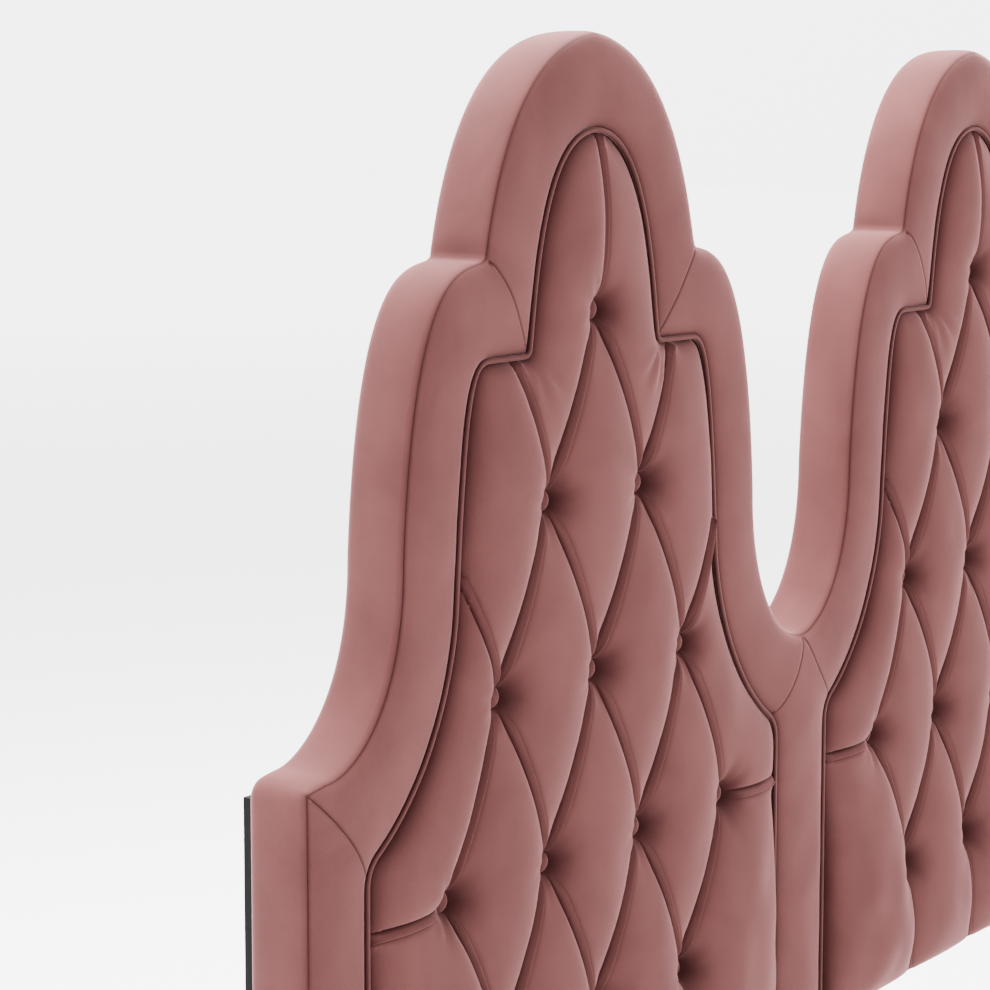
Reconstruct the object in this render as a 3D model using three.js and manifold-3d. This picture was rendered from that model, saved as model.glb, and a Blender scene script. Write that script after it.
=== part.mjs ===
// A deep-buttoned velvet headboard with two arched towers, carried by two slotted legs.
// Millimetres, +Z up, +X to the right of someone facing the velvet, which looks along -Y.
// The origin is on the floor, under the middle of the whole object, with the board at its lowest setting.
import * as THREE from "three";
import { mergeVertices } from "three/addons/utils/BufferGeometryUtils.js";
import Module from "manifold-3d";

const wasm = await Module();
wasm.setup();

// Board, in its own heights above the bottom edge.
const WIDTH = 1575;
const BOARD_BOTTOM = 360; // floor to the bottom edge at the lowest setting
const APEX = 1080;
const CORNER_HEIGHT = 434;
const TOWER_X = 381.5; // middle of each tower from the middle of the board
const GAP = 0.3; // between pieces that touch

// Half of a tower's outer edge, as half-widths from the tower's middle and heights.
// Each run of controls bends the curve that ends at the point named after it.
const ARCH_CONTROLS = [57, 1075, 136, 1035];
const NOTCH = [167, 874]; // where the arch steps out to the shoulder
const SHOULDER_CONTROLS = [184, 857, 265, 904];
const WAIST = [281.5, 612]; // between the shoulder and the flared foot
const FLARE_CONTROLS = [281.5, 489, 344, 438];
const VALLEY_HEIGHT = 438;
const OUTER_STEPS = 9; // straight steps in each curve of the outer edge

// Half of the inner edge, along which the piping runs round the tufted pad.
const PANEL_APEX = 989;
const INNER_ARCH_CONTROLS = [86, 987, 95, 830];
const INNER_NOTCH = [103.5, 781];
const INNER_SHOULDER = 161;
const INNER_SHOULDER_CONTROLS = [188, 781, 197, 755];
const INNER_WAIST = [210, 555];
const INNER_FLARE_CONTROLS = [216, 498, 246, 411];
const INNER_CORNER = [319, 360];
const INNER_FOOT_CONTROLS = [327, 353, 331, 345];
const PANEL_HALF = 331;
const PANEL_STRAIGHT = 332; // below this height the inner edge is upright
const NOTCH_ROUND = 9;
const INNER_STEPS = 6; // straight steps in each curve of the inner edge

// Depths, from the velvet's crowns to the bolt heads.
const PAD_FRONT = -62;
const BORDER_FRONT = -36;
const SEAM = -28; // plane of the seam between the border and the edge band
const BUTTON_BACK = -19.3;
const FRONT_BOARD = [-14, -2];
const FRAME_FRONT = -1.7;
const TUFTING_BOARD_BACK = 7.3;
const FRAME_BACK = 38.6;
const CLOTH = [38.9, 39.7];
const BOARD_BACK = 40;
const LEG_DEPTH = 16;
const BAND_THICKNESS = 12;
const BAND_ROLL = { depth: 3, inset: 2.5 }; // how the band's back edge is rounded off
const PAD_SHOULDER = [-36, 0]; // a depth, and how far the pad is pulled in there
const PAD_SLOPE = [-52, 6];
const PAD_CROWN_INSET = 20;
const BORDER_SHOULDER = -31;
const BORDER_CROWN_INSET = 9;
const TIMBER_BOTTOM = 6; // the boards stop short of the velvet's bottom edge

// Tufting: button rows from the top, each a height and the columns it has.
const BUTTON_PITCH = 150;
const BUTTON_ROWS = [
  [818, [0]],
  [642, [-0.5, 0.5]],
  [468, [-1, 0, 1]],
  [294, [-1.5, -0.5, 0.5, 1.5]],
  [126, [-1, 0, 1]],
];
const BUTTON_R = 11;
const BUTTON_DOME = [[0, 0], [5.5, 0.8], [9.6, 3], [BUTTON_R, 5.8]]; // radius, and depth behind the crown
const BUTTON_HEM = 1; // how much narrower the dome is at its back
const TWINE_HOLE_R = 4;
const POCKET_FLOOR = -19;
const POCKET_R = 12;
const POCKET_MOUTH_R = 44;

// Piping and the clearance that the pads keep from it.
const PIPING_R = 2.75;
const PIPING_ROOM = 3.1;
const CORD_SIDES = 6;
const ROUND_SIDES = 12; // of buttons, bolts and inserts
const HOLE_SIDES = 8;
const ARC_STEPS = 6; // in each rounded end of a slot
const CLEAR = 50; // how far a cutting tool reaches past what it cuts

// Timber.
const TUFTING_OVERLAP = 15;
const FRAME_INSET = 13;
const RIB_BOTTOM = 320;
const RAIL_HEIGHT = 80;
const MIDDLE_RAIL = 226;
const POST_HALF = 35;

// Legs, fixed by bolts that ride in a long slot.
const LEG_X = 747.5;
const LEG_WIDTH = 60;
const LEG_TOP = 775.5;
const GLIDE_HEIGHT = 5;
const SLOT_HALF_WIDTH = 4.4;
const ADJUSTING_SLOT = [416, 749];
const BED_SLOT = [180, 320];
const RELIEF = 2; // how far below the board the leg's front face is set back
const BOLT_HEIGHTS = [60, 185];
const BOLT_R = 4;
const BOLT_TIP = 16;
const BOLT_ROOM = 1; // round the bolt where it passes the back cloth
const FLANGE_R = 12;
const FLANGE_THICKNESS = 1.6;
const HEAD_R = 7;
const HEAD_HEIGHT = 3.8;
const HEAD_SHOULDER = [5.8, 2.7]; // radius, and height above the flange
const HEAD_TOP_R = 4;
const SOCKET_R = 2.9;
const SOCKET_DEPTH = 2.5;
const INSERT_R = 7;
const INSERT_FLANGE_R = 9;
const INSERT_FLANGE_THICKNESS = 1.6;

const velvet = new THREE.MeshStandardMaterial({ color: 0xa0706c, roughness: 0.85, metalness: 0 });
const plywood = new THREE.MeshStandardMaterial({ color: 0xc9a777, roughness: 0.7, metalness: 0 });
const pine = new THREE.MeshStandardMaterial({ color: 0xd2b183, roughness: 0.7, metalness: 0 });
const paint = new THREE.MeshStandardMaterial({ color: 0x2d3030, roughness: 0.6, metalness: 0 });
const steel = new THREE.MeshStandardMaterial({ color: 0x9a9a98, roughness: 0.35, metalness: 1 });
const blackCloth = new THREE.MeshStandardMaterial({ color: 0x1c1c1d, roughness: 0.95, metalness: 0 });
const nylon = new THREE.MeshStandardMaterial({ color: 0x222222, roughness: 0.5, metalness: 0 });

// ---- Outlines, as points (x, height) ----

// The outer edge of half a tower, from its apex down to the middle of the valley.
function outerHalf() {
  const path = new THREE.Path();
  path.moveTo(0, APEX);
  path.bezierCurveTo(...ARCH_CONTROLS, ...NOTCH);
  path.bezierCurveTo(...SHOULDER_CONTROLS, ...WAIST);
  path.bezierCurveTo(...FLARE_CONTROLS, TOWER_X, VALLEY_HEIGHT);
  return path.getPoints(OUTER_STEPS);
}

// The inner edge of half a tower, from its apex down to the bottom edge.
function innerHalf(round) {
  const path = new THREE.Path();
  path.moveTo(0, PANEL_APEX);
  path.bezierCurveTo(...INNER_ARCH_CONTROLS, INNER_NOTCH[0] - round / 5, INNER_NOTCH[1] + round);
  if (round > 0) path.quadraticCurveTo(...INNER_NOTCH, INNER_NOTCH[0] + round, INNER_NOTCH[1]);
  path.lineTo(INNER_SHOULDER, INNER_NOTCH[1]);
  path.bezierCurveTo(...INNER_SHOULDER_CONTROLS, ...INNER_WAIST);
  path.bezierCurveTo(...INNER_FLARE_CONTROLS, ...INNER_CORNER);
  path.bezierCurveTo(...INNER_FOOT_CONTROLS, PANEL_HALF, PANEL_STRAIGHT);
  path.lineTo(PANEL_HALF, 0);
  return path.getPoints(INNER_STEPS);
}

// Both halves of an edge in one run from left to right, moved to a tower's middle.
function bothHalves(half, middle) {
  const left = half.slice(1).reverse().map((p) => new THREE.Vector2(middle - p.x, p.y));
  const right = half.map((p) => new THREE.Vector2(middle + p.x, p.y));
  return [...left, ...right];
}

// The whole outer edge, from the bottom left corner over both towers to the bottom right corner.
function outerEdge() {
  const half = outerHalf();
  const towers = [...bothHalves(half, -TOWER_X), ...bothHalves(half, TOWER_X)];
  const inner = towers.filter((p) => Math.abs(p.x) < 2 * TOWER_X - 1 && Math.abs(p.x) > 1);
  const side = WIDTH / 2;
  return [
    new THREE.Vector2(-side, 0),
    new THREE.Vector2(-side, CORNER_HEIGHT),
    new THREE.Vector2(-2 * TOWER_X, VALLEY_HEIGHT),
    ...inner.filter((p) => p.x < 0),
    new THREE.Vector2(0, VALLEY_HEIGHT),
    ...inner.filter((p) => p.x > 0),
    new THREE.Vector2(2 * TOWER_X, VALLEY_HEIGHT),
    new THREE.Vector2(side, CORNER_HEIGHT),
    new THREE.Vector2(side, 0),
  ];
}

// Moves a run of points sideways, to its right for a positive distance, with mitred corners.
function offset(points, distance, closed) {
  const last = points.length - 1;
  const away = (a, b) => new THREE.Vector2(b.y - a.y, a.x - b.x).normalize();
  return points.map((p, i) => {
    const before = i > 0 ? points[i - 1] : closed ? points[last] : null;
    const after = i < last ? points[i + 1] : closed ? points[0] : null;
    const first = away(before || p, before ? p : after);
    const second = away(after ? p : before, after || p);
    const middle = first.clone().add(second);
    return p.clone().add(middle.multiplyScalar((2 * distance) / middle.lengthSq()));
  });
}

function raiseBottom(points, bottom) {
  return points.map((p) => new THREE.Vector2(p.x, Math.max(p.y, bottom)));
}

// The border's outline: round the outer edge, and back round both windows, which are open below.
function borderOutline(outerInset, windowGrowth, bottom, round) {
  const half = innerHalf(round);
  const windows = [TOWER_X, -TOWER_X].flatMap((x) =>
    offset(bothHalves(half, x), -windowGrowth, false).reverse(),
  );
  return raiseBottom([...offset(outerEdge(), outerInset, false), ...windows], bottom);
}

function panelOutline(middle, growth, bottom, round) {
  return raiseBottom(offset(bothHalves(innerHalf(round), middle), -growth, false), bottom);
}

// ---- Solids ----

// A closed solid from one outline repeated at several depths, from the back, each pulled in by its own inset.
function stack(points, stations) {
  const outline = THREE.ShapeUtils.isClockWise(points) ? points : [...points].reverse();
  const count = outline.length;
  const positions = [];
  for (const [depth, inset] of stations) {
    for (const p of inset ? offset(outline, inset, true) : outline) {
      positions.push(p.x, depth, p.y);
    }
  }
  const index = [];
  const cap = THREE.ShapeUtils.triangulateShape(outline, []);
  const lastRing = (stations.length - 1) * count;
  for (const [a, b, c] of cap) {
    const area = THREE.ShapeUtils.area([outline[a], outline[b], outline[c]]);
    const [q, r] = area > 0 ? [b, c] : [c, b];
    index.push(a, r, q, lastRing + a, lastRing + q, lastRing + r);
  }
  for (let s = 0; s < stations.length - 1; s += 1) {
    for (let i = 0; i < count; i += 1) {
      const j = (i + 1) % count;
      const low = s * count;
      const high = low + count;
      index.push(low + i, high + j, low + j, low + i, high + i, high + j);
    }
  }
  const geometry = new THREE.BufferGeometry();
  geometry.setAttribute("position", new THREE.Float32BufferAttribute(positions, 3));
  geometry.setIndex(index);
  return geometry;
}

// A round cord along a run of points in one upright plane, with mitred turns and flat ends.
function cord(route, radius, depth, sides) {
  const count = route.length;
  const positions = [];
  for (let k = 0; k < sides; k += 1) {
    const turn = (2 * Math.PI * k) / sides;
    for (const p of offset(route, radius * Math.cos(turn), false)) {
      positions.push(p.x, depth + radius * Math.sin(turn), p.y);
    }
  }
  const index = [];
  for (let k = 0; k < sides; k += 1) {
    const low = k * count;
    const high = ((k + 1) % sides) * count;
    for (let i = 0; i < count - 1; i += 1) {
      index.push(low + i, high + i, low + i + 1, high + i, high + i + 1, low + i + 1);
    }
    if (k > 0 && k < sides - 1) {
      index.push(0, high, low);
      index.push(count - 1, low + count - 1, high + count - 1);
    }
  }
  const geometry = new THREE.BufferGeometry();
  geometry.setAttribute("position", new THREE.Float32BufferAttribute(positions, 3));
  geometry.setIndex(index);
  return geometry;
}

// A flat board cut to an outline, between two depths.
const board = (outline, front, back) =>
  stack(outline, [
    [back, 0],
    [front, 0],
  ]);

const block = (x0, x1, y0, y1, z0, z1) =>
  new THREE.BoxGeometry(x1 - x0, y1 - y0, z1 - z0).translate((x0 + x1) / 2, (y0 + y1) / 2, (z0 + z1) / 2);

function toSolid(geometry) {
  const bare = geometry.clone();
  bare.deleteAttribute("normal");
  bare.deleteAttribute("uv");
  const merged = mergeVertices(bare, 1e-4);
  return new wasm.Manifold(
    new wasm.Mesh({
      numProp: 3,
      vertProperties: merged.attributes.position.array,
      triVerts: new Uint32Array(merged.index.array),
    }),
  );
}

function toGeometry(solid) {
  const mesh = solid.getMesh();
  const geometry = new THREE.BufferGeometry();
  geometry.setAttribute("position", new THREE.BufferAttribute(mesh.vertProperties, 3));
  geometry.setIndex(new THREE.BufferAttribute(mesh.triVerts, 1));
  geometry.computeVertexNormals();
  return geometry;
}

const cut = (geometry, tools) =>
  toGeometry(tools.reduce((solid, tool) => solid.subtract(toSolid(tool)), toSolid(geometry)));

const common = (geometry, tool) => toGeometry(toSolid(geometry).intersect(toSolid(tool)));

// ---- The board's pieces, with heights above the board's bottom edge ----

function buttonPlaces() {
  return BUTTON_ROWS.flatMap(([height, columns]) => columns.map((c) => [c * BUTTON_PITCH, height]));
}

function tuftingBoard(middle) {
  const outline = panelOutline(middle, TUFTING_OVERLAP, TIMBER_BOTTOM, 0);
  const drill = new THREE.CylinderGeometry(TWINE_HOLE_R, TWINE_HOLE_R, CLEAR, HOLE_SIDES);
  const holes = buttonPlaces().map(([x, z]) => drill.clone().translate(middle + x, 0, z));
  return cut(board(outline, FRAME_FRONT, TUFTING_BOARD_BACK), holes);
}

// The pad's rounded block, with a conical pocket where each button pulls it in.
function tuftedPad(middle) {
  const outline = panelOutline(middle, -PIPING_ROOM, 0, NOTCH_ROUND);
  const crowned = stack(outline, [
    [FRONT_BOARD[1], 0],
    PAD_SHOULDER,
    PAD_SLOPE,
    [PAD_FRONT, PAD_CROWN_INSET],
  ]);
  const mouth = PAD_FRONT - GAP;
  const profile = [
    [0, mouth],
    [POCKET_MOUTH_R, mouth],
    [POCKET_R, POCKET_FLOOR],
    [0, POCKET_FLOOR],
  ].map(([r, y]) => new THREE.Vector2(r, y));
  const pockets = buttonPlaces().map(([x, z]) =>
    new THREE.LatheGeometry(profile, ROUND_SIDES).translate(middle + x, 0, z),
  );
  return cut(crowned, pockets);
}

function button() {
  const dome = BUTTON_DOME.map(([r, behind]) => new THREE.Vector2(r, SEAM + behind));
  const back = [BUTTON_R - BUTTON_HEM, 0].map((r) => new THREE.Vector2(r, BUTTON_BACK));
  return new THREE.LatheGeometry([...dome, ...back], ROUND_SIDES);
}

function piping(middle) {
  return cord(bothHalves(innerHalf(NOTCH_ROUND), middle), PIPING_R, SEAM, CORD_SIDES);
}

function borderPad() {
  const outline = borderOutline(BAND_THICKNESS + GAP, PIPING_ROOM, 0, NOTCH_ROUND);
  return stack(outline, [
    [FRONT_BOARD[0] - GAP, 0],
    [BORDER_SHOULDER, 0],
    [BORDER_FRONT, BORDER_CROWN_INSET],
  ]);
}

// The border's 5 pieces, parted by a mitre at each outer corner and two that spread from the valley.
function borderPieces() {
  const whole = borderPad();
  const side = WIDTH / 2;
  const cornerSlope = (CORNER_HEIGHT - INNER_CORNER[1]) / (side - TOWER_X - INNER_CORNER[0]);
  const cornerMitre = (x) => CORNER_HEIGHT + (x - side) * cornerSlope;
  const valleySlope = (VALLEY_HEIGHT - INNER_CORNER[1]) / (TOWER_X - INNER_CORNER[0]);
  const valleyMitre = (x) => VALLEY_HEIGHT - x * valleySlope;
  const cutter = (points) => board(points.map(([x, z]) => new THREE.Vector2(x, z)), BORDER_FRONT - CLEAR, 0);
  const seam = GAP / 2;
  const [near, far] = [TOWER_X - PANEL_HALF / 2, TOWER_X + PANEL_HALF / 2]; // both inside the window
  const edge = side + CLEAR;
  const pieces = {};
  for (const [name, hand] of [["left", -1], ["right", 1]]) {
    pieces[`${name}_side_border`] = cutter([
      [hand * far, -CLEAR],
      [hand * far, cornerMitre(far) - seam],
      [hand * edge, cornerMitre(edge) - seam],
      [hand * edge, -CLEAR],
    ]);
    pieces[`${name}_crown_border`] = cutter([
      [hand * seam, VALLEY_HEIGHT + seam],
      [hand * near, valleyMitre(near) + seam],
      [hand * far, cornerMitre(far) + seam],
      [hand * edge, cornerMitre(edge) + seam],
      [hand * edge, APEX + CLEAR],
      [hand * seam, APEX + CLEAR],
    ]);
  }
  pieces.centre_border = cutter([
    [-near, -CLEAR],
    [-near, valleyMitre(near) - seam],
    [-seam, VALLEY_HEIGHT - seam],
    [seam, VALLEY_HEIGHT - seam],
    [near, valleyMitre(near) - seam],
    [near, -CLEAR],
  ]);
  return Object.entries(pieces).map(([name, tool]) => [name, common(whole, tool)]);
}

// One strip round the outer edge, rolled a little at the back.
function edgeBand() {
  const edge = outerEdge();
  const outline = [...edge, ...offset(edge, BAND_THICKNESS, false).reverse()];
  return stack(outline, [
    [BOARD_BACK, BAND_ROLL.inset],
    [BOARD_BACK - BAND_ROLL.depth, 0],
    [SEAM, 0],
  ]);
}

function frontBoard() {
  const outline = borderOutline(BAND_THICKNESS + 2 * GAP, 0, TIMBER_BOTTOM, 0);
  return board(outline, ...FRONT_BOARD);
}

function archRib(hand) {
  const outline = borderOutline(FRAME_INSET, TUFTING_OVERLAP + GAP, 0, 0);
  const [x0, x1] = hand < 0 ? [-WIDTH, -GAP] : [GAP, WIDTH];
  return common(board(outline, FRAME_FRONT, FRAME_BACK), block(x0, x1, -CLEAR, CLEAR, RIB_BOTTOM + GAP, APEX));
}

// A stile with blind holes from behind for the threaded inserts.
function stile(hand) {
  const near = hand * (TOWER_X + PANEL_HALF + TUFTING_OVERLAP + GAP);
  const far = hand * (WIDTH / 2 - FRAME_INSET);
  const [x0, x1] = [Math.min(near, far), Math.max(near, far)];
  const timber = block(x0, x1, FRAME_FRONT, FRAME_BACK, TIMBER_BOTTOM, RIB_BOTTOM);
  const depth = FRAME_BACK - BOLT_TIP + GAP;
  const barrel = (r, deep) =>
    new THREE.CylinderGeometry(r + GAP, r + GAP, 2 * deep, ROUND_SIDES).translate(hand * LEG_X, FRAME_BACK, 0);
  const holes = BOLT_HEIGHTS.flatMap((z) => [
    barrel(INSERT_R, depth).translate(0, 0, z),
    barrel(INSERT_FLANGE_R, INSERT_FLANGE_THICKNESS + GAP).translate(0, 0, z),
  ]);
  return cut(timber, holes);
}

function rail(bottom) {
  const end = TOWER_X + PANEL_HALF + TUFTING_OVERLAP;
  return block(-end, end, TUFTING_BOARD_BACK + GAP, FRAME_BACK, bottom, bottom + RAIL_HEIGHT);
}

function centrePost() {
  const top = MIDDLE_RAIL - GAP;
  return block(-POST_HALF, POST_HALF, FRAME_FRONT, FRAME_BACK, TIMBER_BOTTOM + RAIL_HEIGHT + GAP, top);
}

function backCloth() {
  const outline = raiseBottom(offset(outerEdge(), BAND_THICKNESS + 2, false), TIMBER_BOTTOM);
  const punch = new THREE.CylinderGeometry(BOLT_R + BOLT_ROOM, BOLT_R + BOLT_ROOM, CLEAR, ROUND_SIDES);
  const places = [-LEG_X, LEG_X].flatMap((x) => BOLT_HEIGHTS.map((z) => [x, z]));
  const holes = places.map(([x, z]) => punch.clone().translate(x, CLOTH[0], z));
  return cut(board(outline, ...CLOTH), holes);
}

function threadedInsert() {
  const bore = BOLT_R + GAP;
  const front = BOLT_TIP;
  const profile = [
    [bore, front],
    [INSERT_R, front],
    [INSERT_R, FRAME_BACK - INSERT_FLANGE_THICKNESS],
    [INSERT_FLANGE_R, FRAME_BACK - INSERT_FLANGE_THICKNESS],
    [INSERT_FLANGE_R, FRAME_BACK],
    [bore, FRAME_BACK],
    [bore, front],
  ].map(([r, y]) => new THREE.Vector2(r, y));
  return new THREE.LatheGeometry(profile, ROUND_SIDES);
}

// A button-head bolt with a flange that spans the slot and a hexagon socket.
function bolt() {
  const face = BOARD_BACK + LEG_DEPTH + 2 * GAP;
  const head = face + FLANGE_THICKNESS;
  const profile = [
    [0, BOLT_TIP],
    [BOLT_R, BOLT_TIP],
    [BOLT_R, face],
    [FLANGE_R, face],
    [FLANGE_R, head],
    [HEAD_R, head],
    [HEAD_SHOULDER[0], head + HEAD_SHOULDER[1]],
    [HEAD_TOP_R, head + HEAD_HEIGHT],
    [0, head + HEAD_HEIGHT],
  ].map(([r, y]) => new THREE.Vector2(r, y));
  const socket = new THREE.CylinderGeometry(SOCKET_R, SOCKET_R, 2 * SOCKET_DEPTH, 6);
  return cut(new THREE.LatheGeometry(profile, ROUND_SIDES), [socket.translate(0, head + HEAD_HEIGHT, 0)]);
}

// ---- The legs, with heights above the floor ----

function slotHole([low, high]) {
  const hole = new THREE.Path();
  hole.absarc(0, high, SLOT_HALF_WIDTH, 0, Math.PI, false);
  hole.absarc(0, low, SLOT_HALF_WIDTH, Math.PI, 2 * Math.PI, false);
  return hole;
}

// A flat leg with two slots, its front face set back by the gap where it stands behind the board.
function leg() {
  const half = LEG_WIDTH / 2;
  const shape = new THREE.Shape();
  shape.moveTo(-half, GLIDE_HEIGHT + GAP);
  shape.lineTo(half, GLIDE_HEIGHT + GAP);
  shape.lineTo(half, LEG_TOP);
  shape.lineTo(-half, LEG_TOP);
  shape.closePath();
  shape.holes.push(slotHole(ADJUSTING_SLOT), slotHole(BED_SLOT));
  const depth = LEG_DEPTH + GAP;
  const plain = new THREE.ExtrudeGeometry(shape, { depth, bevelEnabled: false, curveSegments: ARC_STEPS });
  plain.rotateX(Math.PI / 2).translate(0, BOARD_BACK + depth, 0);
  const relief = block(-LEG_WIDTH, LEG_WIDTH, 0, BOARD_BACK + GAP, BOARD_BOTTOM - RELIEF, LEG_TOP + CLEAR);
  return cut(plain, [relief]);
}

function glide() {
  const [back, front] = [BOARD_BACK + GAP + LEG_DEPTH, BOARD_BACK + GAP];
  const half = LEG_WIDTH / 2;
  return block(-half, half, front, back, 0, GLIDE_HEIGHT);
}

// ---- Assembly ----

function add(group, name, geometry, material, x = 0, z = 0) {
  const mesh = new THREE.Mesh(geometry, material);
  mesh.name = name;
  mesh.position.set(x, 0, z);
  group.add(mesh);
}

const headboard = new THREE.Group();
const upholsteredBoard = new THREE.Group();
upholsteredBoard.position.z = BOARD_BOTTOM;
headboard.add(upholsteredBoard);

add(upholsteredBoard, "front_board", frontBoard(), plywood);
add(upholsteredBoard, "bottom_rail", rail(TIMBER_BOTTOM), pine);
add(upholsteredBoard, "middle_rail", rail(MIDDLE_RAIL), pine);
add(upholsteredBoard, "centre_post", centrePost(), pine);
add(upholsteredBoard, "edge_band", edgeBand(), velvet);
add(upholsteredBoard, "back_cloth", backCloth(), blackCloth);
for (const [name, geometry] of borderPieces()) {
  add(upholsteredBoard, name, geometry, velvet);
}

for (const [side, hand] of [["left", -1], ["right", 1]]) {
  const middle = hand * TOWER_X;
  add(upholsteredBoard, `${side}_stile`, stile(hand), pine);
  add(upholsteredBoard, `${side}_arch_rib`, archRib(hand), plywood);
  add(upholsteredBoard, `${side}_tufting_board`, tuftingBoard(middle), plywood);
  add(upholsteredBoard, `${side}_tufted_pad`, tuftedPad(middle), velvet);
  add(upholsteredBoard, `${side}_piping`, piping(middle), velvet);
  buttonPlaces().forEach(([x, z], i) => {
    add(upholsteredBoard, `${side}_button_${i + 1}`, button(), velvet, middle + x, z);
  });
  for (const [place, height] of [["lower", BOLT_HEIGHTS[0]], ["upper", BOLT_HEIGHTS[1]]]) {
    add(upholsteredBoard, `${side}_${place}_insert`, threadedInsert(), steel, hand * LEG_X, height);
    add(upholsteredBoard, `${side}_${place}_bolt`, bolt(), steel, hand * LEG_X, height);
  }
  add(headboard, `${side}_leg`, leg(), paint, hand * LEG_X);
  add(headboard, `${side}_glide`, glide(), nylon, hand * LEG_X);
}

export default headboard;
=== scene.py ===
import math
import bpy
import numpy as np
from mathutils import Matrix, Vector
from mathutils.bvhtree import BVHTree
from mathutils.geometry import delaunay_2d_cdt


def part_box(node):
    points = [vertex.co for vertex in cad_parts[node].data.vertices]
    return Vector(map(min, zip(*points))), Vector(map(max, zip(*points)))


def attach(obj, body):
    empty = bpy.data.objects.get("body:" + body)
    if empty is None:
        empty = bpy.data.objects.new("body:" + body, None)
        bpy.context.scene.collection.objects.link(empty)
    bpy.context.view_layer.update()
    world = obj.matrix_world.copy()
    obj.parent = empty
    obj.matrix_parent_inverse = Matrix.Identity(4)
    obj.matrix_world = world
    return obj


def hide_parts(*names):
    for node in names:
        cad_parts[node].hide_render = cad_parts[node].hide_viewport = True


# Metres. +X to the right of someone facing the velvet, which looks along -Y; +Z up.
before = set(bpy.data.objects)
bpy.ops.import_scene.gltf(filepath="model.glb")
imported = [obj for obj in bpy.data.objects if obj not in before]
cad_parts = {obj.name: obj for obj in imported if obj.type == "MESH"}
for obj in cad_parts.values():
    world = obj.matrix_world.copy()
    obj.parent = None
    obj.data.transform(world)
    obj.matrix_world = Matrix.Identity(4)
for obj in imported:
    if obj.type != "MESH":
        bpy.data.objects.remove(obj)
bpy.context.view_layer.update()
rng = np.random.default_rng(4)

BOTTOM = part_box("edge_band")[0].z                 # the board's bottom edge
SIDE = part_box("edge_band")[1].x                   # half the board's width
BOARD_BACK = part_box("edge_band")[1].y
pipe_low, pipe_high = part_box("right_piping")
TOWER = (pipe_low.x + pipe_high.x) / 2            # middle of each tower
SEAM = (pipe_low.y + pipe_high.y) / 2             # the plane of the piping and of the outer seam
PIPING_R = .00275
HANDS = {"left": -1, "right": 1}

NOTCH_X, NOTCH_Z = .167, .874                     # where an arch meets its shoulder, on the outer edge
CORNER_Z, VALLEY_Z = .434, .438
INNER_NOTCH_X, INNER_NOTCH_Z = .1035, .781        # the same notch on the piping


# ---- Outlines: half-widths from a tower's middle, and heights above the bottom edge ----

def bezier(a, b, c, d, step=.004):
    a, b, c, d = (np.array(p, float) for p in (a, b, c, d))
    t = np.linspace(0, 1, 200)[:, None]
    curve = a * (1 - t) ** 3 + 3 * b * t * (1 - t) ** 2 + 3 * c * t * t * (1 - t) + d * t ** 3
    return spaced(curve, step)


def spaced(points, step):
    """The same run with points about step apart, both ends kept."""
    points = np.asarray(points, float)
    along = np.r_[0, np.cumsum(np.linalg.norm(np.diff(points, axis=0), axis=1))]
    at = np.linspace(0, along[-1], max(2, round(along[-1] / step) + 1))
    return np.stack([np.interp(at, along, points[:, k]) for k in range(points.shape[1])], -1)


def run(*parts):
    """Joins runs that share their end points."""
    return np.concatenate([parts[0]] + [p[1:] for p in parts[1:]])


def outer_half(step=.004):
    """From the apex down to the middle of the valley."""
    return run(
        bezier((0, 1.080), (.057, 1.075), (.136, 1.035), (NOTCH_X, NOTCH_Z), step),
        bezier((NOTCH_X, NOTCH_Z), (.184, .857), (.265, .904), (.2815, .612), step),
        bezier((.2815, .612), (.2815, .489), (.344, VALLEY_Z), (.3815, VALLEY_Z), step),
    )


def inner_half(step=.004, low=0.0):
    """Along the piping, from the apex down to a height."""
    return run(
        bezier((0, .989), (.086, .987), (.095, .830), (.1022, .789), step),
        bezier((.1022, .789), (.1031, .783), (.1055, .781), (.1115, .781), step),
        spaced([(.1115, .781), (.161, .781)], step),
        bezier((.161, .781), (.188, .781), (.197, .755), (.210, .555), step),
        bezier((.210, .555), (.216, .498), (.246, .411), (.319, .360), step),
        bezier((.319, .360), (.327, .353), (.331, .345), (.331, .332), step),
        spaced([(.331, .332), (.331, low)], step),
    )


def both(half, middle=0.0):
    """Both halves in one run from left to right."""
    left = half[:0:-1] * (-1, 1)
    return np.concatenate([left, half]) + (middle, 0)


def outer_edge(step=.004, low=0.0):
    """From the bottom left corner over both towers to the bottom right corner."""
    half = outer_half(step)
    corner = (SIDE - TOWER, CORNER_Z)
    foot = run(spaced([half[-1], corner], step), spaced([corner, (corner[0], low)], step))
    tower = np.concatenate([foot[:0:-1] * (-1, 1), half[::-1] * (-1, 1), half[1:]])
    left = tower - (TOWER, 0)
    right = left[::-1] * (-1, 1)
    return np.concatenate([left, right[1:]])


def offset(points, distance, closed=False):
    """Moves a run sideways, to its right for a positive distance, with mitred corners."""
    points = np.asarray(points, float)
    ahead = np.roll(points, -1, 0) - points
    if not closed:
        ahead[-1] = ahead[-2]
    back = np.roll(ahead, 1, 0)
    if not closed:
        back[0] = ahead[0]
    n1, n2 = (np.stack([d[:, 1], -d[:, 0]], -1) / np.linalg.norm(d, axis=1)[:, None] for d in (back, ahead))
    middle = n1 + n2
    square = np.maximum((middle ** 2).sum(1), 1.2)
    return points + middle * (2 * distance / square)[:, None]


def inside(points, ring):
    """Which points lie inside a closed ring."""
    found = np.zeros(len(points), bool)
    a, b = ring, np.roll(ring, -1, 0)
    for (x1, y1), (x2, y2) in zip(a, b):
        if y1 == y2:
            continue
        over = (points[:, 1] > y1) != (points[:, 1] > y2)
        found ^= over & (points[:, 0] < x1 + (points[:, 1] - y1) * (x2 - x1) / (y2 - y1))
    return found


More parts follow.
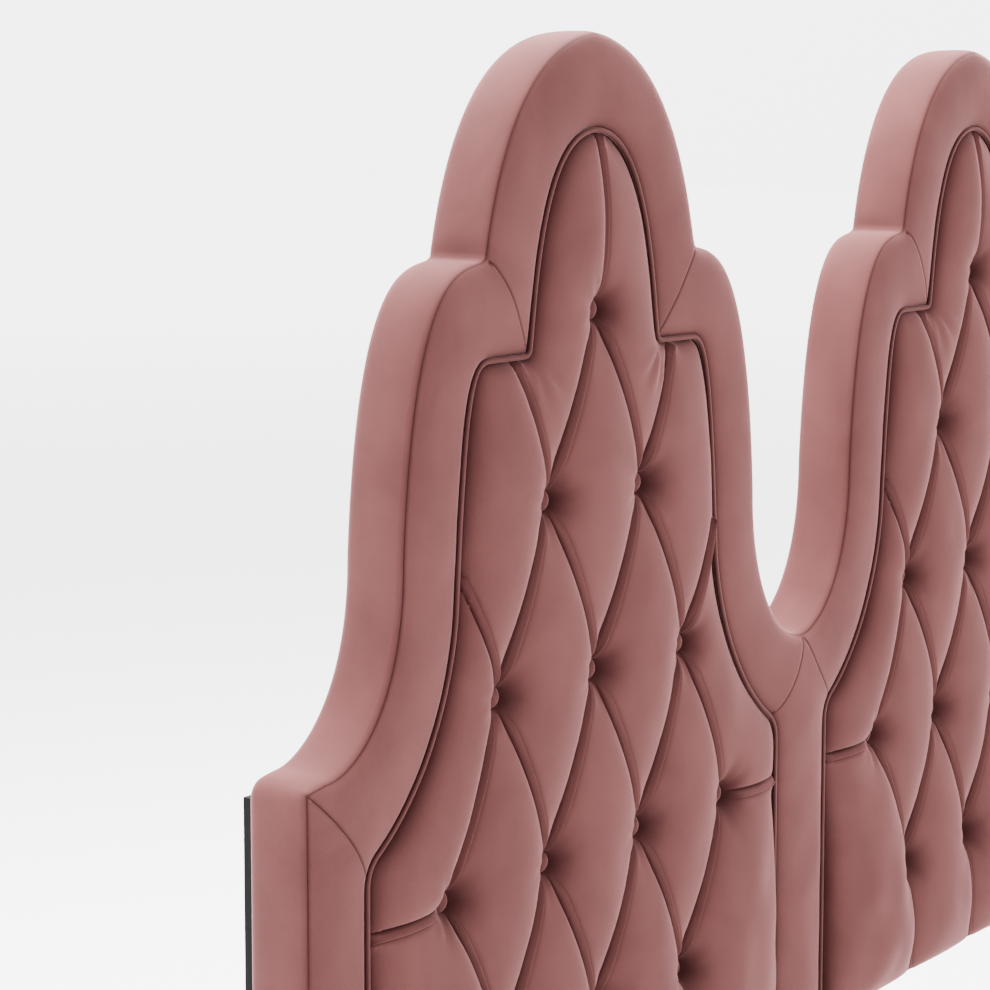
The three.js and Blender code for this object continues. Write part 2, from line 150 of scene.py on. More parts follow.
def nearest(points, others):
    """Distance from each point to the nearest of the others, and which one that is."""
    best, which = np.full(len(points), 9.0), np.zeros(len(points), int)
    for k in range(0, len(points), 500):
        gap = ((points[k:k + 500, None, :] - others[None]) ** 2).sum(-1)
        which[k:k + 500] = gap.argmin(1)
        best[k:k + 500] = np.sqrt(gap.min(1))
    return best, which


def clearance(points, others):
    return nearest(points, others)[0]


# ---- Stretched cloth on flat outlines ----

MEMBRANE_STEPS = 900
MEMBRANE_REST = 1e-16   # what is left of the pull when the skin counts as settled


class Patch:
    """A flat cut of cloth as a triangle net that follows its outline, its creases and its folds."""

    def __init__(self):
        self.points, self.edges = [], []
        self.pins, self.lifts, self.shades, self.eases = [], [], [], []

    def line(self, points, pin=None, lift=0.0, shade=0.0, ease=0.0, closed=False, joined=True):
        """Adds a run. pin is the depth it is held at, or None where the cloth is free, and lift is added at the
        end. shade is how much painted shade, partly pressed pile, darkens the cloth there, and ease how gently the
        cloth leaves the run, both from 0 to 1."""
        first, n = len(self.points), len(points)
        pins = [np.nan] * n if pin is None else np.broadcast_to(pin, n)
        self.points += [tuple(p) for p in points]
        self.pins += list(pins)
        self.lifts += list(np.broadcast_to(lift, n))
        self.shades += list(np.broadcast_to(shade, n))
        self.eases += list(np.broadcast_to(ease, n))
        if joined:
            self.edges += [(first + i, first + i + 1) for i in range(n - 1)]
            if closed:
                self.edges.append((first + n - 1, first))

    def fill(self, outer, holes, step, room):
        """Fills the outline with an even net, kept clear of the runs that are already there."""
        lo, hi = outer.min(0), outer.max(0)
        rows = np.arange(lo[1], hi[1], step * .866)
        net = [(x + (k % 2) * step / 2, y) for k, y in enumerate(rows) for x in np.arange(lo[0], hi[0], step)]
        net = np.array(net) + rng.normal(0, step * .06, (len(net), 2))
        net = net[inside(net, outer)]
        for hole in holes:
            net = net[~inside(net, hole)]
        net = net[clearance(net, np.array(self.points)) > room]
        self.line(net, joined=False)

    def solve(self, crown, power, scale):
        """The net with the depth of every point: held where it is pinned, and blown out between by crown.
        Gives the points, the triangles, the depths, what is added at the end, the blown part and the shade."""
        flat = [Vector(p) for p in self.points]
        coords, _, faces, came, _, _ = delaunay_2d_cdt(flat, self.edges, [], 1, 1e-6)
        xy = np.array([tuple(c) for c in coords])
        faces = np.array([f for f in faces if len(f) == 3])
        pins = np.array([np.nanmax([self.pins[k] for k in c] or [np.nan]) for c in came])
        lifts = np.array([max([self.lifts[k] for k in c] or [0.0], key=abs) for c in came])
        shade = np.array([max([self.shades[k] for k in c] or [0.0]) for c in came])
        held = ~np.isnan(pins)
        base = membrane(xy, faces, held, np.nan_to_num(pins), 0.0)
        blown = membrane(xy, faces, held, np.zeros(len(xy)), 1.0)
        ease = np.array([max([self.eases[k] for k in c] or [0.0]) for c in came])
        ease = membrane(xy, faces, held, ease, 0.0).clip(0)
        rise = crown * ((blown.clip(0) / scale + ease) ** power - ease ** power)
        return xy, faces, base + rise, lifts, rise, shade


def membrane(xy, faces, held, values, load):
    """Solves for a stretched skin over the net, held at some points and pushed by an even load."""
    n = len(xy)
    i, j, weight, area = [], [], [], np.zeros(n)
    for a, b, c in ((0, 1, 2), (1, 2, 0), (2, 0, 1)):
        u = xy[faces[:, a]] - xy[faces[:, c]]
        v = xy[faces[:, b]] - xy[faces[:, c]]
        cross = np.abs(u[:, 0] * v[:, 1] - u[:, 1] * v[:, 0])
        i.append(faces[:, a])
        j.append(faces[:, b])
        weight.append(np.clip((u * v).sum(1) / np.maximum(cross, 1e-12), .02, 50) / 2)
        area += np.bincount(faces[:, a], cross / 6, n)
    i, j, weight = (np.concatenate(p) for p in (i, j, weight))
    i, j, weight = np.r_[i, j], np.r_[j, i], np.r_[weight, weight]
    total = np.bincount(i, weight, n) + 1e-12
    free = ~held

    def pull(v):
        return total * v - np.bincount(i, weight * v[j], n)

    x = np.where(held, values, values[held].mean())
    left = np.where(free, load * area - pull(x), 0)
    z = left / total
    d, size = z.copy(), left @ z
    for _ in range(MEMBRANE_STEPS):
        q = np.where(free, pull(d), 0)
        step = size / max(d @ q, 1e-30)
        x, left = x + step * d, left - step * q
        z = left / total
        new = left @ z
        if new < MEMBRANE_REST:
            break
        d, size = z + (new / size) * d, new
    return x


def closed_mesh(name, front, faces, back_y):
    """A piece from a front skin: its rim is carried back to a plane and closed there."""
    front, faces = np.asarray(front, float), [tuple(int(k) for k in f) for f in faces]
    directed = {(f[k], f[(k + 1) % 3]) for f in faces for k in range(3)}
    rim = {a: b for a, b in directed if (b, a) not in directed}
    points, made = [tuple(p) for p in front], list(faces)
    while rim:
        start = next(iter(rim))
        loop = [start]
        while rim[loop[-1]] != start:
            loop.append(rim[loop[-1]])
        for k in loop:
            del rim[k]
        first = len(points)
        points += [(front[k][0], back_y, front[k][2]) for k in loop]
        n = len(loop)
        made += [(loop[(k + 1) % n], loop[k], first + k, first + (k + 1) % n) for k in range(n)]
        made.append(tuple(first + k for k in range(n)))
    return mesh_object(name, points, made)


def ripples(x, s, count, low, high):
    """A sum of faint waves in random directions."""
    total = np.zeros(len(x))
    for _ in range(count):
        way, wave = rng.uniform(0, math.pi), rng.uniform(low, high)
        total += np.sin(wave * (x * math.cos(way) + s * math.sin(way)) + rng.uniform(0, 6))
    return total


def mesh_object(name, points, faces):
    mesh = bpy.data.meshes.new(name)
    mesh.from_pydata([tuple(map(float, p)) for p in points], [], faces)
    mesh.validate()
    mesh.update()
    mesh.shade_smooth()
    made = bpy.data.objects.new(name, mesh)
    bpy.context.scene.collection.objects.link(made)
    return made


def facing_front(xy, faces):
    """Triangles turned so that they face -Y when the flat y is the height."""
    u, v = xy[faces[:, 1]] - xy[faces[:, 0]], xy[faces[:, 2]] - xy[faces[:, 0]]
    turned = (u[:, 0] * v[:, 1] - u[:, 1] * v[:, 0]) < 0
    faces = faces.copy()
    faces[turned] = faces[turned][:, ::-1]
    return faces


# ---- Tufted panel ----

PITCH = .150
ROWS = [(.818, [0]), (.642, [-.5, .5]), (.468, [-1, 0, 1]), (.294, [-1.5, -.5, .5, 1.5]), (.126, [-1, 0, 1])]
BUTTONS = [(c * PITCH, z) for z, columns in ROWS for c in columns]
BUTTON_BED = .0160      # depth of the cloth under a button, forward of the frame's zero
TURN_R = .009           # the cloth turns under the bottom edge about this radius
TURN = TURN_R * math.pi / 2
UNDER = .034            # how much of it lies underneath
UNDER_DEPTH = .0128     # how far forward its hem lies
EDGE_DEPTH = .0430      # how far forward the bottom edge bulges
LOWEST = TURN_R - TURN - UNDER
GROOVE = .0215          # depth the cloth dives to beside the piping
SAG = .0075             # how far the filling bulges below the bottom edge
BUTTON_HOLD = .0075     # the cloth is held down within this radius of a button's middle
FOLD_START = .0085      # and the folds begin at this one
FOLD_STEP = .0042
PAD_CROWN = .0330
PAD_BACK = -.0022       # the plane where a pad's edge is closed
OVERHANG = .0048        # how far a pad leans out over the piping

# A fold's ribbon as its width and rise, its shift across the line and its crease's depth half way.
FALLING = (.0066, .0042, .0030, .0375)
RISING = (.0072, .0066, .0064, .0325)
LEFT_EDGE = (.0062, .0040, .0030, .036)
RIGHT_EDGE = (.0068, .0055, .0055, .033)
LEVEL = (.0085, .0030, .0015, .036)
TOP = (.0062, .0030, .001, .036)
FOOT = (.0062, .0030, .002, .040)
# A fold's rows across its ribbon: share of the width, added depth and share of the rise, painted shade, ease.
FOLD_ROWS = (
    (-.0060, None, 0, 0), (-.0026, None, .3, 0), (0, (-.0015, 0), 1, 0), (.16, (.0004, .06), .7, 0),
    (.45, (.0006, .42), .3, 0), (.78, (.0008, .84), .06, 0), (.91, (.0017, .98), 0, 0), (1, (.0012, 1), 0, 0),
)
# Past its proud edge: how far past, added depth, painted shade, ease.
BEYOND_ROWS = ((.0009, -.0009, .6, .25), (.0022, .0006, .2, .25), (.0060, None, .05, 0))


def pleats():
    """Each as its two ends, its ribbon, and its crease's depth at the far end, or None where that is a button."""
    found = []
    for (z0, row), (z1, below) in zip(ROWS, ROWS[1:]):
        for a in row:
            for b in below:
                if abs(a - b) < .6:
                    ribbon = FALLING if b > a else RISING
                    found.append(((a * PITCH, z0), (b * PITCH, z1), *ribbon, None))
    found.append(((0, .818), (.001, .985), *TOP, .027))
    for s in (-1, 1):
        ribbon = LEFT_EDGE if s < 0 else RIGHT_EDGE
        found.append(((s * .075, .642), (s * .126, .776), *ribbon, .027))
        found.append(((s * .150, .468), (s * .204, .590), *ribbon, .027))
        found.append(((s * .225, .294), (s * .3300, .291), *LEVEL, .026))
    for c in (-1, 0, 1):
        found.append(((c * PITCH, .126), (c * PITCH + .001, LOWEST + .002), *FOOT, .032))
    return found


def add_pleat(patch, start, end, width, rise, shift, middle, last):
    """A tucked fold: a deep crease along its left or upper side, and a ribbon of cloth that climbs from it to a
    proud edge. middle is the crease's depth half way; last its depth at the far end, or None at a button."""
    start, end = np.array(start), np.array(end)
    length = np.linalg.norm(end - start)
    along = (end - start) / length
    across = np.array([along[1], -along[0]])
    level = abs(along[1]) < .3
    backward = across[1] > 0 if level else across[0] < 0
    if backward:
        across = -across
    stop = length - (FOLD_START if last is None else .0012)
    at = np.linspace(FOLD_START, stop, round((stop - FOLD_START) / FOLD_STEP) + 1)
    t = (at - FOLD_START) / (stop - FOLD_START)
    near = np.minimum(t, 1 - t) if last is None else t
    full = np.clip(near / .18, 0, 1)
    full = full * (2 - full)
    hump = np.sin(math.pi / 2 * np.clip(near / (.5 if last is None else .4), 0, 1)) ** .36
    crease = BUTTON_BED + (middle - BUTTON_BED) * hump
    if last is not None:
        crease = crease + (last - middle) * (2 * t - 1).clip(0) ** 1.6
    wide = .0012 + (width - .0012) * full
    line = start + at[:, None] * along - np.outer(shift * full, across)
    # Each row's shade is painted shade: darkest in the crease, less up the ribbon, and again in the gap past the
    # proud edge.
    for share, lift, shade, ease in FOLD_ROWS:
        away = np.full(len(t), share) if share < 0 else wide * share
        pin = None if lift is None else crease + (lift[0] + lift[1] * rise) * full
        row = line + away[:, None] * across
        patch.line(row, pin=pin, shade=shade * np.clip(full * 2, 0, 1), ease=ease, joined=lift is not None)
    for beyond, lift, shade, ease in BEYOND_ROWS:
        pin = None if lift is None else crease + (lift + rise) * full
        row = line + (wide + beyond)[:, None] * across
        patch.line(row, pin=pin, shade=shade * np.clip(full * 2, 0, 1), ease=ease, joined=lift is not None)


def rolled(x, s, depth):
    """Where cloth at a height s and a depth forward of zero lies, once the bottom is turned under."""
    theta = np.clip((TURN_R - s) / TURN, 0, 1) * math.pi / 2
    past = np.clip(TURN_R - TURN - s, 0, UNDER) / UNDER
    lifted = .16 * np.clip(.050 - depth, 0, .03)
    fall = np.exp(-np.clip(s, 0, None) / .024)
    depth = depth + (EDGE_DEPTH - depth) * .93 * fall
    y = -(depth - TURN_R) - TURN_R * np.cos(theta)
    y = y * (1 - past) - UNDER_DEPTH * past
    turned = TURN_R * (1 - np.sin(theta)) + lifted * np.sin(theta) ** 2 * (1 - past) + .0055 * past
    z = np.where(s > TURN_R, s, turned)
    return np.stack([x, y, np.maximum(z, .0003) - SAG * fall * (1 - past)], -1)


def tufted_skin():
    patch = Patch()
    ring = offset(both(inner_half(.0042, LOWEST)), .0014)
    ring[:, 1] = np.maximum(ring[:, 1], LOWEST)
    base = spaced([ring[-1], ring[0]], .0045)[1:-1]
    whole = np.concatenate([ring, base])
    pins = np.r_[np.full(len(ring), GROOVE), np.full(len(base), .046)]
    # Full painted shade along the outline beside the piping.
    patch.line(whole, pin=pins, shade=1.0, closed=True)
    for inset in (.0028, .0065, .0120):
        beside = offset(ring, inset)
        patch.line(beside[clearance(beside, ring) > inset * .9], joined=False)
    turn = np.arange(10) * math.pi / 5
    for x, z in BUTTONS:
        hold = np.stack([x + BUTTON_HOLD * np.cos(turn), z + BUTTON_HOLD * np.sin(turn)], -1)
        # Full painted shade where a button holds the cloth down.
        patch.line(hold, pin=BUTTON_BED, shade=1.0, closed=True)
        patch.line([(x, z)], pin=BUTTON_BED, shade=1.0, joined=False)
    for pleat in pleats():
        add_pleat(patch, *pleat)
    patch.fill(whole, [], .0048, .0032)
    xy, faces, depth, lifts, rise, shade = patch.solve(PAD_CROWN, .47, .0021)
    faces = facing_front(xy, faces)
    depth, shade = pucker(*xy.T, depth, shade)
    depth += .00035 * ripples(*xy.T, 10, 50, 110) * rise / .029
    gap = clearance(xy, spaced(ring, .002))
    # Painted shade on the pad beside the piping, fading over about a centimetre.
    shade = np.maximum(shade, np.exp(-(gap / .0085) ** 1.2))
    xy = lean_out(xy, ring, depth)
    return rolled(*xy.T, depth + lifts), faces, shade


def pucker(x, s, depth, shade):
    """Small wrinkles round each button and below each notch of the piping, and the shadow of each button's pit."""
    for bx, bz in BUTTONS:
        away = np.hypot(x - bx, s - bz)
        turn = np.arctan2(s - bz, x - bx)
        phase = rng.uniform(0, 6.28)
        depth += .0008 * np.exp(-((away - .026) / .012) ** 2) * np.sin(9 * turn + phase) * (away > .011)
        # Painted shadow in each button's pit, centred a little to the button's right.
        shade = np.maximum(shade, .95 * np.exp(-(np.hypot(x - bx - .006, s - bz) / .024) ** 2))
    for side in (-1, 1):
        across, down = x - side * INNER_NOTCH_X, s - INNER_NOTCH_Z
        away = np.hypot(across, down)
        turn = np.arctan2(down, across * -side)
        fan = np.exp(-((turn + .95) / .75) ** 2) * np.exp(-((away - .030) / .026) ** 2)
        depth += .0016 * fan * np.sin(11 * turn)
    return depth, shade


def lean_out(xy, ring, depth):
    """Moves the proud cloth beside the piping outwards, so that the pad hangs a little over it."""
    gap, near = nearest(xy, ring)
    proud = np.clip((depth - .033) / .015, 0, 1) * np.exp(-gap / .016) * np.clip((xy[:, 1] - .03) / .06, 0, 1)
    outward = offset(ring, -1.0) - ring
    return xy + outward[near] * (OVERHANG * proud)[:, None]


def shaded(piece, shade):
    """Stores the painted shade at each point, partly pressed pile, which darkens the velvet; points past the end
    of the list are bare.
    """
    layer = piece.data.attributes.new("painted_shade_and_pressed_pile", "FLOAT", "POINT")
    values = np.zeros(len(piece.data.vertices), np.float32)
    values[:len(shade)] = shade
    layer.data.foreach_set("value", values)


def tufted_pads():
    skin, faces, shade = tufted_skin()
    made = []
    for side, hand in HANDS.items():
        points = skin + (hand * TOWER, 0, BOTTOM)
        pad = closed_mesh(side + "_tufted_velvet", points, faces, PAD_BACK)
        shaded(pad, shade)
        made.append(("board", pad, [side + "_tufted_pad"], "pad_velvet"))
    return made


# ---- Border, band and piping ----

BORDER_GROOVE = .0252   # depth of the border's inner edge, beside the piping
BORDER_BACK = -.0144    # the plane where the border's edges are closed
BORDER_CROWN = .0078
SEAM_DIP = -.0009
# The band's section: how far behind the outer seam, and how far out from the cut outline.
BAND_FACE = [(0, -.0014), (.0007, -.0003), (.0026, .0010), (.007, .0020), (.016, .0028), (.030, .0032),
             (.044, .0030)]
# The same round the back edge, where the first number counts from that edge.
BAND_REAR = [(-.014, .0024), (-.008, .0016), (-.0035, .0002), (-.0008, -.0016), (0, -.0040), (0, -.0115)]
BAND_HEM = (.0006, -.0115)
# The band's painted shade on its first rows, darkest at the seam.
BAND_SHADES = (1, .35, .08)     # of its first rows, beside the seam
PIPING_SIDES = 12

def seam_lines():
    """The seams across the border: two by each arch, one at each outer corner and two from the valley."""
    lines = []
    for tower in (-TOWER, TOWER):
        for s in (-1, 1):
            notch = bezier((s * NOTCH_X, NOTCH_Z), (s * .144, .850), (s * .122, .814), (s * .1050, .7835))
            lines.append(notch + (tower, 0))
    for s in (-1, 1):
        side = s * SIDE
        inward = [(side - s * in_by, z) for in_by, z in ((.021, .414), (.054, .380), (.0730, .344))]
        lines.append(bezier((side, CORNER_Z), *inward))
        lines.append(bezier((0, VALLEY_Z), (s * .012, .412), (s * .034, .376), (s * (TOWER - .3215), .3590)))
    return [spaced(line, .0042)[1:-1] for line in lines]


def border_skin():
    patch = Patch()
    edge = offset(outer_edge(), .0004)
    windows = [offset(both(inner_half(), m), -.0014) for m in (-TOWER, TOWER)]
    ring = np.concatenate([edge, windows[1][::-1], windows[0][::-1]])
    ring[:, 1] = np.maximum(ring[:, 1], 0)
    pins = np.r_[np.full(len(edge), -SEAM - .0006), np.full(len(ring) - len(edge), BORDER_GROOVE)]
    ring_rows = [spaced(ring[[k, (k + 1) % len(ring)]], .0045)[:-1] for k in range(len(ring))]
    whole = np.concatenate(ring_rows)
    ends = zip(ring_rows, pins, np.roll(pins, -1))
    whole_pins = np.concatenate([np.full(len(row), min(this, after)) for row, this, after in ends])
    bottom = whole[:, 1] < 1e-6
    whole_pins[bottom] = np.where(clearance(whole[bottom], ring) < .002, whole_pins[bottom], np.nan)
    # Painted shade all round the border's outline, at the seam and beside the piping, lighter where the bottom
    # edge is free.
    whole_shade = np.where(np.isnan(whole_pins), .3, 1.0)
    patch.line(whole, pin=whole_pins, shade=whole_shade, closed=True)
    for window in windows:
        for inset in (.0030, .0070):
            patch.line(offset(window, -inset), joined=False)
    # Light painted shade just inside the outer seam.
    patch.line(offset(edge, .0010), shade=.3, joined=False)
    patch.line(offset(edge, .0030), joined=False)
    seams = seam_lines()
    for line in seams:
        # Painted shade along each seam across the border, less on either side.
        patch.line(line, lift=SEAM_DIP, shade=1.0)
        for side in (-1, 1):
            patch.line(offset(line, side * .0008)[1:-1], shade=.35)
            patch.line(offset(line, side * .0035)[1:-1], joined=False)
    patch.fill(ring, [], .0060, .0036)
    xy, faces, depth, lifts, rise, shade = patch.solve(BORDER_CROWN, .55, .0006)
    x, s = xy.T
    depth += .0001 * ripples(x, s, 12, 45, 120) * rise / .008
    points = np.stack([x, -(depth + lifts), s], -1)
    rims = np.concatenate([spaced(window, .002) for window in windows])
    # Painted shade on the border beside the piping, fading over about half a centimetre.
    shade = np.maximum(shade, np.exp(-(clearance(xy, rims) / .0045) ** 1.2))
    return points, facing_front(xy, faces), seams, shade


def border_pieces():
    points, faces, seams, shade = border_skin()
    points[:, 2] += BOTTOM
    cover = closed_mesh("border_velvet_cover", points, faces, BORDER_BACK)
    shaded(cover, shade)
    nodes = ["left_side_border", "right_side_border", "left_crown_border", "right_crown_border", "centre_border"]
    return [("board", cover, nodes, "border_velvet")], seams


def band():
    """The strip round the outer edge: a crowned face, a rolled back edge and a crease in each notch."""
    edge = outer_edge(.005)
    depth = BOARD_BACK - SEAM
    section = BAND_FACE + [(depth + back, out) for back, out in BAND_REAR] + [BAND_HEM]
    notch = np.array([(t + s * NOTCH_X, NOTCH_Z) for t in (-TOWER, TOWER) for s in (-1, 1)])
    pinch = 1 - .8 * np.exp(-(clearance(edge, notch) / .012) ** 2)
    wave = np.cumsum(rng.normal(0, 1, len(edge)))
    wave = np.convolve(wave - np.linspace(wave[0], wave[-1], len(wave)), np.ones(9) / 9, "same")
    wave = .0005 * wave / max(abs(wave).max(), 1e-9)
    corner = np.array([(-SIDE, CORNER_Z), (SIDE, CORNER_Z)])
    near = np.exp(-(clearance(edge, corner) / .020) ** 2)[:, None]
    kernel = np.ones(7) / 7
    eased = np.stack([np.convolve(np.pad(edge[:, k], 3, "edge"), kernel, "valid") for k in (0, 1)], -1)
    points = []
    for back, out in section:
        crown = max(out, 0)
        share = near * np.clip(back / .020, 0, 1)
        ring = offset(edge * (1 - share) + eased * share, -(out - crown))
        away = offset(edge, -1.0) - edge
        ring = ring + away * (crown * pinch + (wave if crown else 0))[:, None]
        ring[:, 1] = np.maximum(ring[:, 1], 0)
        points += [(x, SEAM + back, z + BOTTOM) for x, z in ring]
    n, m = len(edge), len(section)
    faces = []
    for k in range(m):
        low, high = k * n, ((k + 1) % m) * n
        faces += [(low + i, low + i + 1, high + i + 1, high + i) for i in range(n - 1)]
    faces.append(tuple(k * n for k in range(m)))
    faces.append(tuple(k * n + n - 1 for k in range(m))[::-1])
    cover = mesh_object("edge_band_cover", points, faces)
    shaded(cover, np.repeat(BAND_SHADES, n))
    return ("board", cover, ["edge_band"], "border_velvet")


def piping():
    """A cord round each pad, sewn into its cover, with a small nip where its run passes the apex."""
    made = []
    for side, hand in HANDS.items():
        route = both(inner_half(.003), hand * TOWER)
        n = len(route)
        swell = 1 + .03 * np.convolve(rng.normal(0, 1, n + 6), np.ones(7) / 7, "valid")
        swell[n // 2 - 1:n // 2 + 1] *= .90
        points = []
        for k in range(PIPING_SIDES):
            turn = 2 * math.pi * k / PIPING_SIDES
            shifted = offset(route, 1.0) - route
            ring = route + shifted * (PIPING_R * swell * math.cos(turn))[:, None]
            ring[:, 1] = np.maximum(ring[:, 1], 0)
            points += [(x, SEAM + PIPING_R * w * math.sin(turn), z + BOTTOM) for (x, z), w in zip(ring, swell)]
        faces = []
        for k in range(PIPING_SIDES):
            low, high = k * n, ((k + 1) % PIPING_SIDES) * n
            faces += [(low + i, high + i, high + i + 1, low + i + 1) for i in range(n - 1)]
        faces.append(tuple(k * n for k in range(PIPING_SIDES))[::-1])
        faces.append(tuple(k * n + n - 1 for k in range(PIPING_SIDES)))
        tube = mesh_object(side + "_piping_velvet", points, faces)
        around = np.arange(PIPING_SIDES) * 2 * math.pi / PIPING_SIDES
        # Painted shade round the cord: darker on its sides and back, lightest at the front.
        piping_painted_shade = np.clip(.15 + .75 * np.cos(around) ** 2 + .4 * np.sin(around).clip(0), 0, 1)
        shaded(tube, np.repeat(piping_painted_shade, n))
        made.append(("board", tube, [side + "_piping"], "piping_velvet"))
    return made


# ---- What repeats: buttons and stitches ----

STITCH_PITCH = .0036
BUTTON_DOME = [(0, .0252), (.0030, .0250), (.0058, .0243), (.0082, .0231), (.0098, .0214), (.0107, .0196),
               (.0109, .0178), (.0104, .0165), (.0080, .0156), (0, .0155)]
# Painted shade on each ring of a button's dome, from the top to the rim: darker towards the rim and underneath.
BUTTON_SHADES = [.5, .52, .6, .72, .9, 1, 1, 1]
BUTTON_TURNS = 28
DASH = [(0, .00125), (.00018, .0011), (.00026, .0006), (.00026, -.0006), (.00018, -.0011), (0, -.00125)]


def lathe(name, profile, turns):
    """Turns a profile of (radius, forward) round the Y axis, pole first."""
    points = [(0, -profile[0][1], 0)]
    for r, y in profile[1:-1]:
        points += [(r * math.cos(a), -y, r * math.sin(a)) for a in np.arange(turns) * 2 * math.pi / turns]
    points.append((0, -profile[-1][1], 0))
    faces, rings = [], len(profile) - 2
    for i in range(turns):
        j = (i + 1) % turns
        faces.append((0, 1 + i, 1 + j))
        for k in range(rings - 1):
            a, b = 1 + k * turns, 1 + (k + 1) * turns
            faces.append((a + i, b + i, b + j, a + j))
        last = 1 + (rings - 1) * turns
        faces.append((len(points) - 1, last + j, last + i))
    return mesh_object(name, points, faces)


def scatter(name, points, along, model, material, spin):
    """Puts a copy of the model on every point, its X axis along the point's line, then turned at random about its
    own Y axis by up to spin. The model itself is removed."""
    host = mesh_object(name, points, [])
    layer = host.data.attributes.new("heading", "FLOAT_VECTOR", "POINT")
    layer.data.foreach_set("vector", np.asarray(along, np.float32).ravel())
    tree = bpy.data.node_groups.new(name, "GeometryNodeTree")
    tree.interface.new_socket("Geometry", in_out="INPUT", socket_type="NodeSocketGeometry")
    model_in = tree.interface.new_socket("Model", in_out="INPUT", socket_type="NodeSocketObject")
    spin_in = tree.interface.new_socket("Spin", in_out="INPUT", socket_type="NodeSocketFloat")
    seed_in = tree.interface.new_socket("Seed", in_out="INPUT", socket_type="NodeSocketInt")
    tree.interface.new_socket("Geometry", in_out="OUTPUT", socket_type="NodeSocketGeometry")
    new = tree.nodes.new
    start, end = new("NodeGroupInput"), new("NodeGroupOutput")
    heading = new("GeometryNodeInputNamedAttribute")
    heading.data_type = "FLOAT_VECTOR"
    heading.inputs["Name"].default_value = "heading"
    align = new("FunctionNodeAlignRotationToVector")
    align.axis = "X"
    turn = new("FunctionNodeRandomValue")
    turn.data_type = "FLOAT"
    axis = new("ShaderNodeCombineXYZ")
    euler = new("FunctionNodeEulerToRotation")
    rotate = new("FunctionNodeRotateRotation")
    rotate.rotation_space = "LOCAL"
    place = new("GeometryNodeInstanceOnPoints")
    thing = new("GeometryNodeObjectInfo")
    real = new("GeometryNodeRealizeInstances")
    paint = new("GeometryNodeSetMaterial")
    paint.inputs["Material"].default_value = material
    link = tree.links.new
    link(start.outputs["Geometry"], place.inputs["Points"])
    link(start.outputs["Model"], thing.inputs["Object"])
    link(thing.outputs["Geometry"], place.inputs["Instance"])
    link(heading.outputs["Attribute"], align.inputs["Vector"])
    link(start.outputs["Spin"], turn.inputs[3])
    link(start.outputs["Seed"], turn.inputs["Seed"])
    link(turn.outputs[1], axis.inputs["Y"])
    link(axis.outputs[0], euler.inputs[0])
    link(align.outputs[0], rotate.inputs["Rotation"])
    link(euler.outputs[0], rotate.inputs["Rotate By"])
    link(rotate.outputs[0], place.inputs["Rotation"])
    link(place.outputs[0], real.inputs[0])
    link(real.outputs[0], paint.inputs["Geometry"])
    link(paint.outputs[0], end.inputs[0])
    grown = host.modifiers.new("grow", "NODES")
    grown.node_group = tree
    grown[model_in.identifier] = model
    grown[spin_in.identifier] = spin
    grown[seed_in.identifier] = 3
    seen = bpy.context.evaluated_depsgraph_get()
    finished = bpy.data.meshes.new_from_object(host.evaluated_get(seen))
    host.modifiers.clear()
    host.data = finished
    finished.name = name
    finished.shade_smooth()
    bpy.data.objects.remove(model)
    return host


def button_pieces(cloth):
    made = []
    for side, hand in HANDS.items():
        model = lathe("dome", BUTTON_DOME, BUTTON_TURNS)
        shaded(model, np.r_[.5, np.repeat(BUTTON_SHADES, BUTTON_TURNS), 1])
        spots = [(hand * TOWER + x, 0, z + BOTTOM) for x, z in BUTTONS]
        piece = scatter(side + "_covered_buttons", spots, [(1, 0, 0)] * len(spots), model, cloth, 6.28)
        nodes = [f"{side}_button_{k + 1}" for k in range(len(BUTTONS))]
        made.append(("board", piece, nodes, "button_velvet"))
    return made


def stitch_model():
    made = lathe("dash", DASH, 6)
    made.data.transform(Matrix.Rotation(math.pi / 2, 4, "Z"))
    return made


def stitches(seams, cloth_tree, yarn):
    """Dashes at an even pitch along the outer seam and along each seam across the border."""
    spots, along = [], []
    lines = [offset(outer_edge(STITCH_PITCH), .0009)] + [spaced(s, STITCH_PITCH) for s in seams]
    for line in lines:
        line = line[line[:, 1] > .002]
        heading = np.gradient(line, axis=0)
        for (x, z), (dx, dz) in zip(line, heading):
            where = cloth_tree.ray_cast(Vector((x, -.2, z + BOTTOM)), Vector((0, 1, 0)))[0]
            if where is None:
                continue
            spots.append((x, where.y - .00005, z + BOTTOM))
            along.append((dx, 0, dz))
    return scatter("seam_stitches", spots, along, stitch_model(), yarn, 0.0)


# ---- Materials ----

